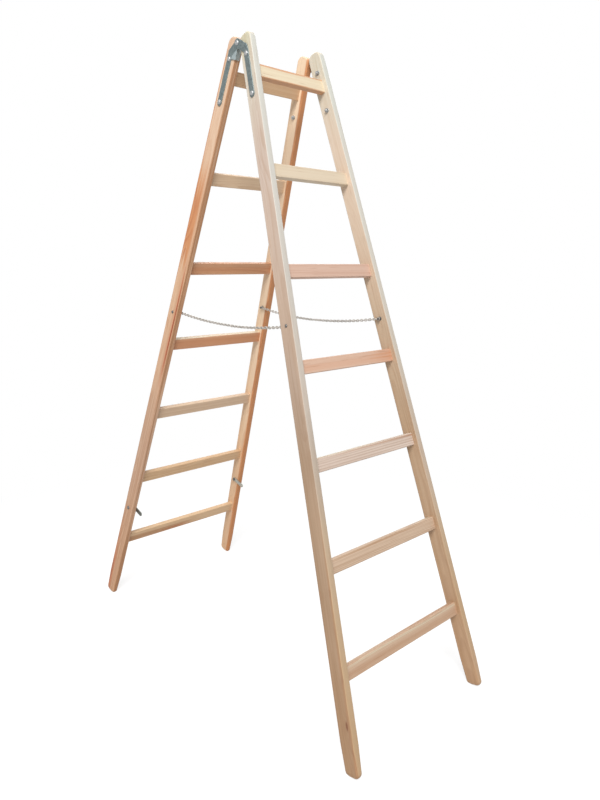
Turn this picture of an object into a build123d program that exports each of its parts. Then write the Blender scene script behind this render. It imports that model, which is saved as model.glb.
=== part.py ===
from build123d import *
from math import atan, cos, degrees, radians, sin, tan
import os

# Wooden double-sided stepladder, millimetres, Z up, standing open on its four feet.
# X runs across the ladder, the front frame stands at -Y and the rear frame at +Y.

# Frames: two equal tapered ladders leaning on each other
lean = 18
stile_length = 2070
stile_depth = 50
stile_thick = 21
stile_round = 2.5
top_round = 20
foot_round = 16
foot_trim = 2
foot_inside = 566.3
top_inside = 257.4

# Rungs on edge with blind stub tenons; their heights were marked by hand, so each departs a
# little from even spacing, given here from the lowest rung up
rung_shifts = (-1, 3, 0, -5, -11, 3, 19)
rung_high = 40
rung_thick = 18
rung_ease = 1.5
rung_pitch = 280
first_rung = 262
tenon_high = 28
tenon_thick = 10
tenon_long = 12
joint_gap = 0.05
tenon_end_gap = 0.5

# Top hinges: pressed straps on the outer faces, riveted together at the apex
pivot_drop = 15.5
pivot_inset = 26.7
pivot_wide = 8
pivot_head_wide = 15
pivot_head_high = 4
pivot_tail_wide = 12
pivot_tail_high = 1.6
running_gap = 0.05
side_gap = 0.3
plate = 2.5
leaf_gap = 0.4
strap_wide = 20
strap_reach = 190.5
eye_wide = 24
arm_slope = 48
bend_below = 49
step_long = 16
flange_start = 30
flange_end = 60
flange_wide = 15

# Fasteners: domed bolts from outside, washers and hexagon nuts on the inner faces. A dome is two
# cones, with its shoulder and crown given as shares of the head's height and width
hinge_bolts_below = (61, 180)
bolt_wide = 6
bolt_head_wide = 14
bolt_head_high = 4
bolt_end = 2
nut_wide = 10
nut_high = 5
washer_wide = 14
washer_thick = 1.2
hole_gap = 0.1
thread_gap = 0.05
round_sides = 12
shoulder_high = 0.6
shoulder_wide = 0.8
crown_wide = 0.32

# Stay chains between the front and rear stiles, opened at the middle of their length
chain_below = 852
chain_bolt_wide = 4
chain_head_wide = 10
chain_head_high = 3.5
chain_nut_wide = 7
chain_nut_high = 3.2
chain_washer_wide = 12
chain_sag = 24
links_per_half = 20
wire = 2
link_inside = 4.8
link_end_slope = 30
link_slack = 0.1
bolt_slack = 0.35
link_play = 1.2
chain_twist = 45
front_tip_shift = 3.5
rear_tip_shift = 8.5

# Guide lugs low down inside the rear stiles, set off from the lowest rung
lug_over_rung = 150
lug_wide = 16
lug_thick = 3
lug_reach = 60

# Sizes that follow from the ones above
taper = atan((foot_inside - top_inside) / 2 / stile_length)
stile_across = stile_thick / cos(taper)
lean_sin = sin(radians(lean))
lean_cos = cos(radians(lean))
pivot_up = stile_length - pivot_drop
lug_below = stile_length - first_rung - lug_over_rung
foot_lift = foot_round + (stile_depth / 2 - foot_round) * lean_sin - foot_round * lean_cos - foot_trim
foot_back = pivot_up * lean_sin + pivot_inset * lean_cos
pivot_height = foot_lift + pivot_up * lean_cos - pivot_inset * lean_sin
frame_plane = Plane(origin=(0, -foot_back, foot_lift), x_dir=(1, 0, 0), z_dir=(0, -lean_cos, lean_sin))
side_plane = Plane(
    origin=frame_plane.from_local_coords((0, stile_length, 0)), x_dir=frame_plane.z_dir, z_dir=(-1, 0, 0)
)
outward = frame_plane.x_dir * -cos(taper) + frame_plane.y_dir * sin(taper)
link_stand = washer_thick + chain_nut_high + link_play + wire / 2
outer_nut_at = washer_thick + chain_nut_high + 2 * link_play + wire


# Half of the clear width between the stiles at a height up the frame
def half_inside(up):
    return foot_inside / 2 + (top_inside - foot_inside) / 2 * up / stile_length


# Outer face of the left stile, as a position across the frame
def outer_face(up):
    return -half_inside(up) - stile_across


# Plane on the outer face of the left stile: X out of the frame, Y up the stile, Z off the face
def stile_spot(below):
    up = stile_length - below
    middle = frame_plane.from_local_coords((outer_face(up), up, 0))
    return Plane(origin=middle, x_dir=frame_plane.z_dir, z_dir=outward)


# Every piece is labelled and written under its own name
def keep(piece, name):
    piece.part.label = name
    export_step(piece.part, f"parts/{name}.step")


# The same piece on the other side of the ladder, and the same piece on the other frame
def to_right(piece):
    with BuildPart() as copy:
        mirror(piece.part, about=Plane.YZ)
    return copy


def to_rear(piece):
    with BuildPart() as copy:
        mirror(piece.part, about=Plane.XZ)
    return copy


os.makedirs("parts", exist_ok=True)
rung_heights = [first_rung + rung_pitch * number + shift for number, shift in enumerate(rung_shifts)]

# Left stile with its mortises and bolt holes; the rear one also has the hole for the lug bolt
def stile(with_lug):
    with BuildPart() as board:
        with BuildSketch(frame_plane):
            Polygon(
                (-half_inside(0), 0),
                (-half_inside(stile_length), stile_length),
                (outer_face(stile_length), stile_length),
                (outer_face(0), 0),
                align=None,
            )
        extrude(amount=stile_depth / 2, both=True)
        fillet(board.edges().sort_by(SortBy.LENGTH)[-4:], radius=stile_round)
        with BuildSketch(side_plane) as side_view:
            with Locations((0, -stile_length / 2)):
                Rectangle(stile_depth, stile_length)
            fillet(side_view.vertices().group_by(Axis.Y)[-1], top_round)
            fillet(side_view.vertices().group_by(Axis.Y)[0], foot_round)
        extrude(amount=2 * foot_inside, mode=Mode.INTERSECT)
        for up in rung_heights:
            pocket_end = half_inside(up) + tenon_long + tenon_end_gap
            with BuildSketch(frame_plane):
                with Locations((-pocket_end / 2, up)):
                    Rectangle(pocket_end, tenon_high + 2 * joint_gap)
            extrude(amount=tenon_thick / 2 + joint_gap, both=True, mode=Mode.SUBTRACT)
        holes = [(below, bolt_wide) for below in hinge_bolts_below]
        holes.append((chain_below, chain_bolt_wide))
        if with_lug:
            holes.append((lug_below, bolt_wide))
        for below, wide in holes:
            with BuildSketch(stile_spot(below)):
                RegularPolygon(wide / 2 + hole_gap, round_sides)
            extrude(amount=-stile_thick * 2, mode=Mode.SUBTRACT)
        with BuildSketch(Plane.XY):
            with Locations((0, -foot_back)):
                Rectangle(4 * foot_inside, 8 * stile_depth)
        extrude(amount=-4 * foot_round, mode=Mode.SUBTRACT)
    return board


left_front_stile = stile(False)
keep(left_front_stile, "left_front_stile")
keep(to_right(left_front_stile), "right_front_stile")
left_rear_stile = to_rear(stile(True))
keep(left_rear_stile, "left_rear_stile")
keep(to_right(left_rear_stile), "right_rear_stile")

# Rungs, shouldered against the slanting inner faces
for number, up in enumerate(rung_heights, start=1):
    low = up - rung_high / 2
    high = up + rung_high / 2
    tenon_span = 2 * (half_inside(up) + tenon_long)
    with BuildPart() as rung:
        with BuildSketch(frame_plane):
            Polygon(
                (-half_inside(low), low),
                (half_inside(low), low),
                (half_inside(high), high),
                (-half_inside(high), high),
                align=None,
            )
        extrude(amount=rung_thick / 2, both=True)
        chamfer(rung.edges().filter_by(Axis.X), length=rung_ease)
        with BuildSketch(frame_plane):
            with Locations((0, up)):
                Rectangle(tenon_span, tenon_high)
        extrude(amount=tenon_thick / 2, both=True)
    keep(rung, f"front_rung_{number}")
    keep(to_rear(rung), f"rear_rung_{number}")

# Hinge leaves: a band bent off the tapered face to stand square to the pivot, cut to the strap outline
inner_eye = outer_face(stile_length - bend_below)
outer_eye = inner_eye - plate - leaf_gap


def hinge_leaf(eye, with_flange):
    bend_up = stile_length - bend_below
    strap_end = stile_length - strap_reach
    tip_radius = strap_wide / 2
    arm_cos = cos(radians(arm_slope))
    arm_sin = sin(radians(arm_slope))
    eye_radius = eye_wide / 2
    upper_start = (-pivot_inset + eye_radius * arm_sin, -pivot_drop + eye_radius * arm_cos)
    lower_start = (-pivot_inset - eye_radius * arm_sin, -pivot_drop - eye_radius * arm_cos)
    upper_run = (tip_radius - upper_start[0]) / arm_cos
    lower_run = (-tip_radius - lower_start[0]) / arm_cos
    upper_end = (tip_radius, upper_start[1] - upper_run * arm_sin)
    lower_end = (-tip_radius, lower_start[1] - lower_run * arm_sin)
    edge_in = -stile_depth / 2
    flange_low = stile_length - flange_end
    flange_high = stile_length - flange_start
    with BuildPart() as leaf:
        with BuildSketch(frame_plane):
            Polygon(
                (outer_face(strap_end), strap_end),
                (outer_face(bend_up), bend_up),
                (eye, bend_up + step_long),
                (eye, stile_length + eye_wide),
                (eye - plate, stile_length + eye_wide),
                (eye - plate, bend_up + step_long),
                (outer_face(bend_up) - plate, bend_up),
                (outer_face(strap_end) - plate, strap_end),
                align=None,
            )
        extrude(amount=2 * stile_depth, both=True)
        with BuildSketch(side_plane):
            Polygon(
                upper_start,
                upper_end,
                (tip_radius, -strap_reach + tip_radius),
                (-tip_radius, -strap_reach + tip_radius),
                lower_end,
                lower_start,
                align=None,
            )
            with Locations((0, -strap_reach + tip_radius)):
                Circle(tip_radius)
            with Locations((-pivot_inset, -pivot_drop)):
                Circle(eye_radius)
            if with_flange:
                Polygon(
                    (edge_in - plate, -flange_start),
                    (edge_in - plate, -flange_end),
                    (-tip_radius, -flange_end),
                    (-tip_radius, -flange_start),
                    align=None,
                )
        extrude(amount=2 * foot_inside, mode=Mode.INTERSECT)
        if with_flange:
            with BuildSketch(frame_plane.offset(edge_in)):
                Polygon(
                    (eye - plate, flange_high),
                    (eye - plate, bend_up + step_long),
                    (outer_face(bend_up), bend_up),
                    (outer_face(flange_low), flange_low),
                    (outer_face(flange_low) + flange_wide, flange_low),
                    (outer_face(flange_low) + flange_wide, flange_high),
                    align=None,
                )
            extrude(amount=-plate)
        for below in hinge_bolts_below:
            with BuildSketch(stile_spot(below)):
                RegularPolygon(bolt_wide / 2 + hole_gap, round_sides)
            extrude(amount=2 * plate, both=True, mode=Mode.SUBTRACT)
        with BuildSketch(side_plane):
            with Locations((-pivot_inset, -pivot_drop)):
                Circle(pivot_wide / 2 + running_gap)
        extrude(amount=2 * foot_inside, mode=Mode.SUBTRACT)
    return leaf


# Both hinges are the same pair of leaves, turned half round for the other side of the ladder: the
# flanged leaf holds the left rear stile and the right front stile
plain_leaf = hinge_leaf(outer_eye, False)
flanged_leaf = hinge_leaf(inner_eye, True)
keep(plain_leaf, "left_front_hinge_leaf")
keep(to_rear(flanged_leaf), "left_rear_hinge_leaf")
keep(to_right(flanged_leaf), "right_front_hinge_leaf")
keep(to_rear(to_right(plain_leaf)), "right_rear_hinge_leaf")


# Small fasteners are drawn twelve-sided. A domed head stands on Z with its seat at a given height
def domed_head(wide, high, seat):
    shoulder = high * shoulder_high
    crown = high - shoulder
    with BuildPart() as head:
        with BuildSketch(Plane.XY.offset(seat)):
            RegularPolygon(wide / 2, round_sides)
        extrude(amount=shoulder, taper=degrees(atan(wide * (1 - shoulder_wide) / 2 / shoulder)))
        with BuildSketch(Plane.XY.offset(seat + shoulder)):
            RegularPolygon(wide / 2 * shoulder_wide, round_sides)
        extrude(amount=crown, taper=degrees(atan(wide * (shoulder_wide - crown_wide) / 2 / crown)))
    return head


# A domed bolt ends at a given reach below the outer face of the stile
def domed_bolt(head_wide, head_high, shank, seat, reach):
    head = domed_head(head_wide, head_high, seat)
    with BuildPart() as bolt:
        add(head.part)
        with BuildSketch(Plane.XY.offset(seat)):
            RegularPolygon(shank / 2, round_sides)
        extrude(amount=-seat - reach)
    return bolt


# Hexagon nut and washer lying under the inner face at a given depth
def hexagon_nut(across, high, shank, depth):
    with BuildPart() as nut:
        with BuildSketch(Plane.XY.offset(-depth)):
            RegularPolygon(across / 2, 6, major_radius=False)
            RegularPolygon(shank / 2 + thread_gap, round_sides, mode=Mode.SUBTRACT)
        extrude(amount=-high)
    return nut


def flat_washer(across, shank, depth):
    with BuildPart() as washer:
        with BuildSketch(Plane.XY.offset(-depth)):
            RegularPolygon(across / 2, round_sides)
            RegularPolygon(shank / 2 + hole_gap, round_sides, mode=Mode.SUBTRACT)
        extrude(amount=-washer_thick)
    return washer


# A set of equal fasteners at the same places on the left and right stiles
def fastener_set(pieces, places):
    with BuildPart() as group:
        for below in places:
            for piece in pieces:
                add(piece.part.moved(stile_spot(below).location))
        mirror(about=Plane.YZ)
    return group


# Rivets of the top hinges: round shanks, domed outside, tails headed over flat inside the inner eyes
pivot_plane = Plane(origin=(0, 0, pivot_height), x_dir=(0, 1, 0), z_dir=(-1, 0, 0))
rivet_seat = -outer_eye + plate
rivet_tail = -inner_eye - side_gap
rivet_head = domed_head(pivot_head_wide, pivot_head_high, rivet_seat)
with BuildPart() as hinge_pivots:
    add(rivet_head.part.moved(pivot_plane.location))
    with BuildSketch(pivot_plane.offset(rivet_tail)):
        Circle(pivot_wide / 2)
    extrude(amount=rivet_seat - rivet_tail)
    with BuildSketch(pivot_plane.offset(rivet_tail)):
        RegularPolygon(pivot_tail_wide / 2, round_sides)
    extrude(amount=-pivot_tail_high)
    mirror(about=Plane.YZ)
keep(hinge_pivots, "hinge_pivots")

# Hinge bolts, two through every strap
hinge_reach = stile_thick + washer_thick + nut_high + bolt_end
hinge_bolt = domed_bolt(bolt_head_wide, bolt_head_high, bolt_wide, plate, hinge_reach)
hinge_washer = flat_washer(washer_wide, bolt_wide, stile_thick)
hinge_nut = hexagon_nut(nut_wide, nut_high, bolt_wide, stile_thick + washer_thick)
hinge_bolts = fastener_set([hinge_bolt], hinge_bolts_below)
hinge_washers = fastener_set([hinge_washer], hinge_bolts_below)
hinge_nuts = fastener_set([hinge_nut], hinge_bolts_below)
keep(hinge_bolts, "front_hinge_bolts")
keep(hinge_washers, "front_hinge_washers")
keep(hinge_nuts, "front_hinge_nuts")
keep(to_rear(hinge_bolts), "rear_hinge_bolts")
keep(to_rear(hinge_washers), "rear_hinge_washers")
keep(to_rear(hinge_nuts), "rear_hinge_nuts")

# Chain bolts: one nut clamps the stile, the end link hangs loose, a second nut keeps it on
chain_reach = stile_thick + outer_nut_at + chain_nut_high + bolt_end
chain_bolt = domed_bolt(chain_head_wide, chain_head_high, chain_bolt_wide, 0, chain_reach)
chain_washer = flat_washer(chain_washer_wide, chain_bolt_wide, stile_thick)
clamp_nut = hexagon_nut(chain_nut_wide, chain_nut_high, chain_bolt_wide, stile_thick + washer_thick)
end_nut = hexagon_nut(chain_nut_wide, chain_nut_high, chain_bolt_wide, stile_thick + outer_nut_at)
chain_bolts = fastener_set([chain_bolt], [chain_below])
chain_washers = fastener_set([chain_washer], [chain_below])
chain_nuts = fastener_set([clamp_nut, end_nut], [chain_below])
keep(chain_bolts, "front_chain_bolts")
keep(chain_washers, "front_chain_washers")
keep(chain_nuts, "front_chain_nuts")
keep(to_rear(chain_bolts), "rear_chain_bolts")
keep(to_rear(chain_washers), "rear_chain_washers")
keep(to_rear(chain_nuts), "rear_chain_nuts")


# Half of a chain from the front left bolt to the middle: welded links along the sagging curve, each
# standing at right angles to the next, and the whole run slowly twisting away from the bolt
def chain_half(tip_shift):
    start = stile_spot(chain_below).from_local_coords((0, 0, -stile_thick - link_stand))
    low = start.Z - chain_sag
    with BuildLine() as curve:
        Bezier(start, (start.X + tip_shift / 2, start.Y / 2, low), (start.X + tip_shift, 0, low))
    hang = curve.edges()[0]
    behind = chain_bolt_wide / 2 + bolt_slack
    pitch = (hang.length + behind) / links_per_half
    inner_long = pitch + link_slack
    end = inner_long / 2 + wire
    side = link_inside / 2 + wire
    shoulder = end - side
    end_half = side * tan(radians(link_end_slope))
    with BuildPart() as link:
        with BuildSketch(Plane.XY):
            Polygon(
                (end, -end_half),
                (end, end_half),
                (shoulder, side),
                (-shoulder, side),
                (-end, end_half),
                (-end, -end_half),
                (-shoulder, -side),
                (shoulder, -side),
                align=None,
            )
            Rectangle(inner_long, link_inside, mode=Mode.SUBTRACT)
        extrude(amount=wire / 2, both=True)
    with BuildPart() as half:
        for number in range(links_per_half):
            along = pitch * (number + 0.5) - behind
            middle = hang.position_at(along, position_mode=PositionMode.LENGTH)
            run = hang.tangent_at(along, position_mode=PositionMode.LENGTH)
            across = run.cross(Vector(0, 0, 1)).normalized()
            if number % 2:
                across = across.cross(run)
            across = across.rotate(Axis((0, 0, 0), run), chain_twist * along / hang.length)
            add(link.part.moved(Plane(origin=middle, x_dir=run, z_dir=across).location))
    return half


left_chain_front_half = chain_half(front_tip_shift)
keep(left_chain_front_half, "left_chain_front_half")
keep(to_right(left_chain_front_half), "right_chain_front_half")
left_chain_rear_half = to_rear(chain_half(rear_tip_shift))
keep(left_chain_rear_half, "left_chain_rear_half")
keep(to_right(left_chain_rear_half), "right_chain_rear_half")

# Guide lugs: flat straps on one bolt each, a washer holding them off the stile
lug_at = stile_thick + washer_thick
with BuildPart() as front_lug:
    with BuildSketch(stile_spot(lug_below).offset(-lug_at)):
        with Locations(((lug_wide / 2 - lug_reach) / 2, 0)):
            SlotOverall(lug_reach + lug_wide / 2, lug_wide)
        RegularPolygon(bolt_wide / 2 + hole_gap, round_sides, mode=Mode.SUBTRACT)
    extrude(amount=-lug_thick)
left_guide_lug = to_rear(front_lug)
keep(left_guide_lug, "left_guide_lug")
keep(to_right(left_guide_lug), "right_guide_lug")
lug_reach_in = lug_at + lug_thick + nut_high + bolt_end
lug_bolt = domed_bolt(bolt_head_wide, bolt_head_high, bolt_wide, 0, lug_reach_in)
lug_washer = flat_washer(washer_wide, bolt_wide, stile_thick)
lug_nut = hexagon_nut(nut_wide, nut_high, bolt_wide, lug_at + lug_thick)
keep(to_rear(fastener_set([lug_bolt], [lug_below])), "guide_lug_bolts")
keep(to_rear(fastener_set([lug_washer], [lug_below])), "guide_lug_washers")
keep(to_rear(fastener_set([lug_nut], [lug_below])), "guide_lug_nuts")
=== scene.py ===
import math

import bpy
import numpy as np
from mathutils import Matrix, Vector


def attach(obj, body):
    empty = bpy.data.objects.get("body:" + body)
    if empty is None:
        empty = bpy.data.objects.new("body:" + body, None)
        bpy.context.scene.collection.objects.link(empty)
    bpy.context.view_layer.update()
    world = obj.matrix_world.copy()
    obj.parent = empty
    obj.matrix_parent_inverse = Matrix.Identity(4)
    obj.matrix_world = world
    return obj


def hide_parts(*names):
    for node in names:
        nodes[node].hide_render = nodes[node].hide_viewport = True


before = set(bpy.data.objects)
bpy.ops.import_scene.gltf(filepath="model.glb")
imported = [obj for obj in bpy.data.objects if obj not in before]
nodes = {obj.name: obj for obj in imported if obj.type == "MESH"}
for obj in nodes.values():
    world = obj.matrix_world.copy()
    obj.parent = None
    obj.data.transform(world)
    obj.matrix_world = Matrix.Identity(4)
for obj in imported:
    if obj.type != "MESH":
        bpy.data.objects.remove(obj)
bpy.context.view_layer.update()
print("frame:", len(nodes), "pieces")

# sizes of the two leaning frames, metres
ladder = {
    "lean": math.radians(18), "length": 2.07, "depth": 0.05, "thick": 0.021,
    "footRound": 0.016, "footTrim": 0.002, "footInside": 0.5663, "topInside": 0.2574,
    "pivotDrop": 0.0155, "pivotInset": 0.0267,
    "rungPitch": 0.28, "firstRung": 0.262,
    "rungShifts": (-0.001, 0.003, 0, -0.005, -0.011, 0.003, 0.019),
}
leanSin, leanCos = math.sin(ladder["lean"]), math.cos(ladder["lean"])
taper = math.atan((ladder["footInside"] - ladder["topInside"]) / 2 / ladder["length"])
pivotUp = ladder["length"] - ladder["pivotDrop"]
footLift = (ladder["footRound"] + (ladder["depth"] / 2 - ladder["footRound"]) * leanSin
            - ladder["footRound"] * leanCos - ladder["footTrim"])
footBack = pivotUp * leanSin + ladder["pivotInset"] * leanCos
pivotHeight = footLift + pivotUp * leanCos - ladder["pivotInset"] * leanSin
alongUp = np.array([0, leanSin, leanCos])        # up the front frame
outOfFrame = np.array([0, -leanCos, leanSin])    # square off the front frame
offStile = np.array([-math.cos(taper), 0, 0]) + math.sin(taper) * alongUp    # square off the left stile


# half the clear width between the stiles: a straight taper from the foot to the top
def halfInside(up):
    narrowing = (ladder["topInside"] - ladder["footInside"]) / 2
    return ladder["footInside"] / 2 + narrowing * up / ladder["length"]


# outer face of the left stile across the frame: its inner face less its thickness
def outerFace(up):
    return -halfInside(up) - ladder["thick"] / math.cos(taper)


# a place on the front frame: across, up the frame, off the frame, as whole arrays
def framePoint(across, up, off):
    across, up, off = np.broadcast_arrays(across, up, off)
    y = -footBack + up * leanSin - off * leanCos
    z = footLift + up * leanCos + off * leanSin
    return np.stack([across, y, z], axis=-1)


# seat on the outer face of the left front stile: columns run out of the frame, up the stile, off the face
def stileSeat(below):
    up = ladder["length"] - below
    axes = np.stack([outOfFrame, np.cross(offStile, outOfFrame), offStile], axis=1)
    return framePoint(outerFace(up), up, 0.0), axes


# even angles round a full turn
def fullTurn(count):
    return np.linspace(0, 2 * np.pi, count, endpoint=False)


# even angles over a quarter turn, both ends counted
def quarterTurn(count):
    return np.linspace(0, np.pi / 2, count)


# rows of an array, each divided by its length
def unit(rows):
    return rows / np.linalg.norm(rows, axis=1)[:, None]


# length gone along a line at each of its points: its steps added up
def lengthGone(line):
    return np.concatenate([[0], np.cumsum(np.linalg.norm(np.diff(line, axis=0), axis=1))])


# a line read off at new stations, straight between its points
def readOff(at, stations, line):
    return np.stack([np.interp(at, stations, column) for column in line.T], -1)


# quads of a grid of rows by columns, its columns running round in a ring, and its rows too if asked
def ringFaces(rows, cols, roundRows=False):
    r = np.arange(rows if roundRows else rows - 1)[:, None]
    c = np.arange(cols)[None, :]
    nextR, nextC = (r + 1) % rows, (c + 1) % cols
    corners = [r * cols + c, r * cols + nextC, nextR * cols + nextC, nextR * cols + c]
    return np.stack(corners, -1).reshape(-1, 4)


# a shell is its points, its quads and the loops that close its ends
def shell(points, faces, caps=()):
    flatPoints = np.asarray(points, float).reshape(-1, 3)
    return {"points": flatPoints, "faces": faces, "caps": [list(cap) for cap in caps]}


# a grid of points as a shell: every row is a ring, and the first and last are closed
def closedTube(points):
    rows, cols = points.shape[:2]
    ends = [range(cols)[::-1], range((rows - 1) * cols, rows * cols)]
    return shell(points, ringFaces(rows, cols), ends)


# a shell with its faces turned over
def turnedOver(part):
    return shell(part["points"], part["faces"][:, ::-1], [cap[::-1] for cap in part["caps"]])


# volume inside a closed shell: corner a dot (b cross c), added up over its triangles; where it comes
# out negative the faces point inwards and are turned
def outward(part):
    p = part["points"]
    loops = [np.array(cap) for cap in part["caps"]]
    fans = [np.stack([np.full(len(loop) - 2, loop[0]), loop[1:-1], loop[2:]], 1) for loop in loops]
    corners = np.concatenate([part["faces"][:, :3], part["faces"][:, [0, 2, 3]]] + fans)
    a, b, c = p[corners[:, 0]], p[corners[:, 1]], p[corners[:, 2]]
    volume = np.einsum("ij,ij->i", a, np.cross(b, c)).sum()
    return turnedOver(part) if volume < 0 else part


# several shells as one: each one's corner numbers move on past the points before it
def joinShells(shells):
    starts = np.cumsum([0] + [len(s["points"]) for s in shells])
    points = np.concatenate([s["points"] for s in shells])
    faces = np.concatenate([s["faces"] + start for s, start in zip(shells, starts)])
    caps = [(np.array(cap) + start).tolist() for s, start in zip(shells, starts) for cap in s["caps"]]
    return shell(points, faces, caps)


# a shell carried to its place: each point along the three axes, added to the origin
def placed(part, origin, axes):
    return shell(part["points"] @ np.asarray(axes).T + origin, part["faces"], part["caps"])


# a shell mirrored left to right or front to rear, its faces turned outwards again
def mirrored(part, across=False, back=False):
    flip = np.array([-1 if across else 1, -1 if back else 1, 1])
    made = shell(part["points"] * flip, part["faces"], part["caps"])
    return turnedOver(made) if across != back else made


# points by radius, angle and height round the Z axis
def polar(r, angle, h):
    return np.stack(np.broadcast_arrays(r * np.cos(angle), r * np.sin(angle), h), -1)


# a turned shape: radius and height of each ring, carried round the Z axis
def turned(radii, heights, sides):
    return closedTube(polar(np.asarray(radii)[:, None], fullTurn(sides), np.asarray(heights)[:, None]))


# a shell as a smooth mesh with sharp edges, riding on a body in place of its CAD nodes
def addPiece(name, part, material, body, stands, sharp=35, glint=None):
    mesh = bpy.data.meshes.new(name)
    mesh.from_pydata(part["points"].tolist(), [], part["faces"].tolist() + part["caps"])
    mesh.materials.append(material)
    # a point attribute that marks where a painted highlight lightens the zinc
    if glint is not None:
        mesh.attributes.new("glint", "FLOAT", "POINT").data.foreach_set("value", glint.astype(np.float32))
    mesh.polygons.foreach_set("use_smooth", np.ones(len(mesh.polygons), bool))
    mesh.update()
    mesh.set_sharp_from_angle(angle=math.radians(sharp))
    piece = bpy.data.objects.new(name, mesh)
    bpy.context.scene.collection.objects.link(piece)
    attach(piece, body)
    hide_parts(*stands)


# a colour given as red, green and blue out of 255, made linear by the sRGB curve
def tone(red, green, blue):
    shares = (red / 255, green / 255, blue / 255)
    linear = [v / 12.92 if v <= 0.04045 else ((v + 0.055) / 1.055) ** 2.4 for v in shares]
    return (*linear, 1)


# the few nodes that every finish here is put together from, in a material or in the sky
class Finish:
    def __init__(self, owner):
        owner.use_nodes = True
        self.owner = owner
        self.tree = owner.node_tree
        self.shader = self.tree.nodes.get("Principled BSDF")

    def node(self, kind, **settings):
        made = self.tree.nodes.new(kind)
        for key, value in settings.items():
            setattr(made, key, value)
        return made

    def feed(self, made, *values, keys=None):
        for key, value in zip(keys or range(len(values)), values):
            if hasattr(value, "is_output"):
                self.tree.links.new(value, made.inputs[key])
            else:
                made.inputs[key].default_value = value

    def math(self, operation, *values):
        made = self.node("ShaderNodeMath", operation=operation)
        self.feed(made, *values)
        return made.outputs[0]

    def vector(self, operation, *values):
        made = self.node("ShaderNodeVectorMath", operation=operation)
        self.feed(made, *values)
        return made.outputs["Value"] if operation in ("LENGTH", "DOT_PRODUCT") else made.outputs[0]

    def noise(self, place, scale, detail, rough):
        made = self.node("ShaderNodeTexNoise")
        self.feed(made, place, scale, detail, rough, keys=("Vector", "Scale", "Detail", "Roughness"))
        return made.outputs["Fac"]

    def step(self, value, low, high, toLow=0.0, toHigh=1.0):
        made = self.node("ShaderNodeMapRange", interpolation_type="SMOOTHSTEP")
        self.feed(made, value, low, high, toLow, toHigh)
        return made.outputs[0]

    def mix(self, share, a, b):
        made = self.node("ShaderNodeMix", data_type="RGBA")
        a, b = (tone(*colour) if isinstance(colour, tuple) else colour for colour in (a, b))
        self.feed(made, share, a, b, keys=(0, 6, 7))    # 6 and 7 are the colours
        return made.outputs[2]

    def bump(self, height, distance, strength):
        made = self.node("ShaderNodeBump")
        self.feed(made, height, distance, strength, keys=("Height", "Distance", "Strength"))
        self.feed(self.shader, made.outputs[0], keys=["Normal"])


surfaceKeys = ("Base Color", "Roughness", "Specular IOR Level")

# noises of the wood: how far each is drawn out, per metre across, through and along the board, then its
# detail and roughness
noises = {
    "sway": ((7, 7, 2.2), 2.0, 0.5), "ripple": ((60, 60, 3), 1.0, 0.5), "vary": ((26, 26, 0.7), 1.0, 0.5),
    "fibre": ((1500, 1500, 22), 2.0, 0.6), "streak": ((170, 170, 1.5), 2.0, 0.55),
    "fleck": ((520, 520, 13), 0.0, 0.5), "cloud": ((16, 16, 2.4), 2.0, 0.5),
}
# what the noises do, each between the two levels of its From pair
grain = {
    "seedStep": (1.37, 0.71, 2.3), "ripple": 0.9,
    "lateRise": (0.3, 0.9), "lateFall": (0.92, 1.0), "varyFrom": (0.3, 0.7), "varyTo": (0.35, 1.0),
    "streakFrom": (0.4, 0.72), "cloudFrom": (0.4, 0.75), "cloudShare": 0.3, "cloudLift": 0.35,
    "fibreFrom": (0.3, 0.7), "fibreShare": 0.14, "fleckFrom": (0.73, 0.8), "fleckShare": 0.3,
    "knotLong": (1, 0.3, 0.3), "knotSwell": (0.4, 3.2), "knotPush": 0.8, "knotCore": (0.35, 1.15),
    "knotShare": 0.75, "bandWander": 0.012, "bandRun": 0.35, "bandCore": 0.45,
    "edgeFrom": (0.0222, 0.0246), "edgeRun": (-0.9, 0.8), "edgeStreak": 0.3,
    "rough": (0.55, 0.42), "specular": 0.3, "relief": 0.5, "reliefDeep": 0.00025,
}


# coordinates of a board from its middle: x and y across its section, z along it
def boardPlace(wood, middle, axes):
    place = wood.node("ShaderNodeMapping", vector_type="TEXTURE")
    turn = Matrix(axes.tolist()).to_euler()
    wood.feed(place, wood.node("ShaderNodeTexCoord").outputs["Object"], middle, turn)
    return place.outputs[0]


# a band of another colour over part of the section and part of the length, with wavering sides; most bands
# are other wood, a few paint shade and highlights along edges
def addBand(wood, colour, band, place, z, wander, late):
    side = wood.vector("DOT_PRODUCT", place, (*band["toward"], 0))
    side = wood.math("MULTIPLY_ADD", wander, grain["bandWander"], side)
    side = wood.math("ABSOLUTE", wood.math("SUBTRACT", side, band["at"]))
    inside = wood.step(side, band["half"] * grain["bandCore"], band["half"], band["share"], 0.0)
    run = wood.math("MULTIPLY_ADD", wander, grain["bandRun"], z)
    (low, high), fade = band["along"], band["fade"]
    inside = wood.math("MULTIPLY", inside, wood.step(run, low - fade, low + fade))
    inside = wood.math("MULTIPLY", inside, wood.step(run, high - fade, high + fade, 1.0, 0.0))
    return wood.mix(inside, colour, wood.mix(late, band["early"], band["late"]))
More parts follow.
